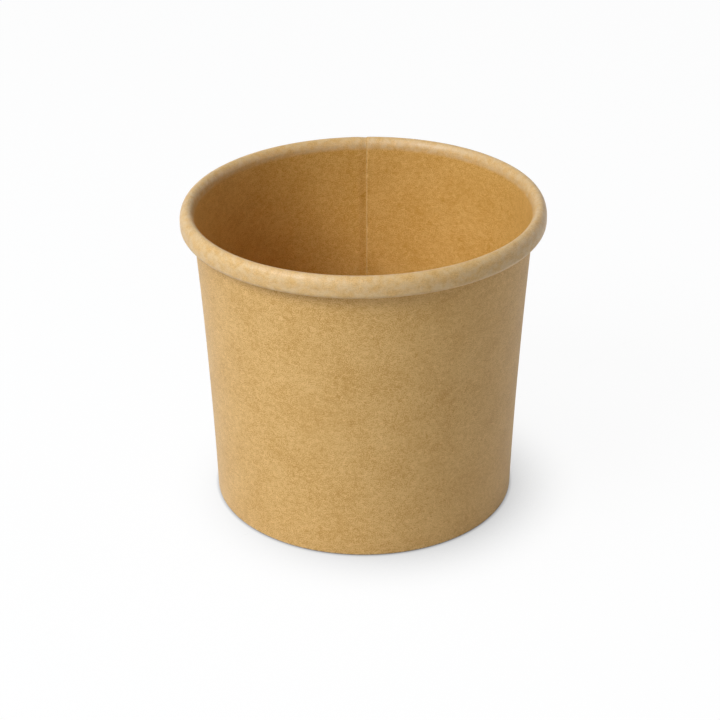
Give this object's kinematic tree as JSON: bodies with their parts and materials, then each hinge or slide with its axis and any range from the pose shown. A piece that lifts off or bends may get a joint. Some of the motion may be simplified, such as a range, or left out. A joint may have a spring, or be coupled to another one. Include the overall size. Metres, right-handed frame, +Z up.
{
  "type": "paper sauce cup",
  "caption": "Small round paper sauce cup with a tapered wall, lapped side seam, curled rim and recessed base.",
  "frame": {"origin": "centre of the foot ring, on the table plane", "axes": "+Z up along the cup's axis, +Y from the axis to the cut edge of the side seam"},
  "size_m": [0.062, 0.062, 0.054],
  "materials": {
    "kraft_wall": "satin",
    "kraft_base": "satin"
  },
  "bodies": {
    "root": {"side_wall": "kraft_wall", "base_disc": "kraft_base"}
  },
  "joints": []
}
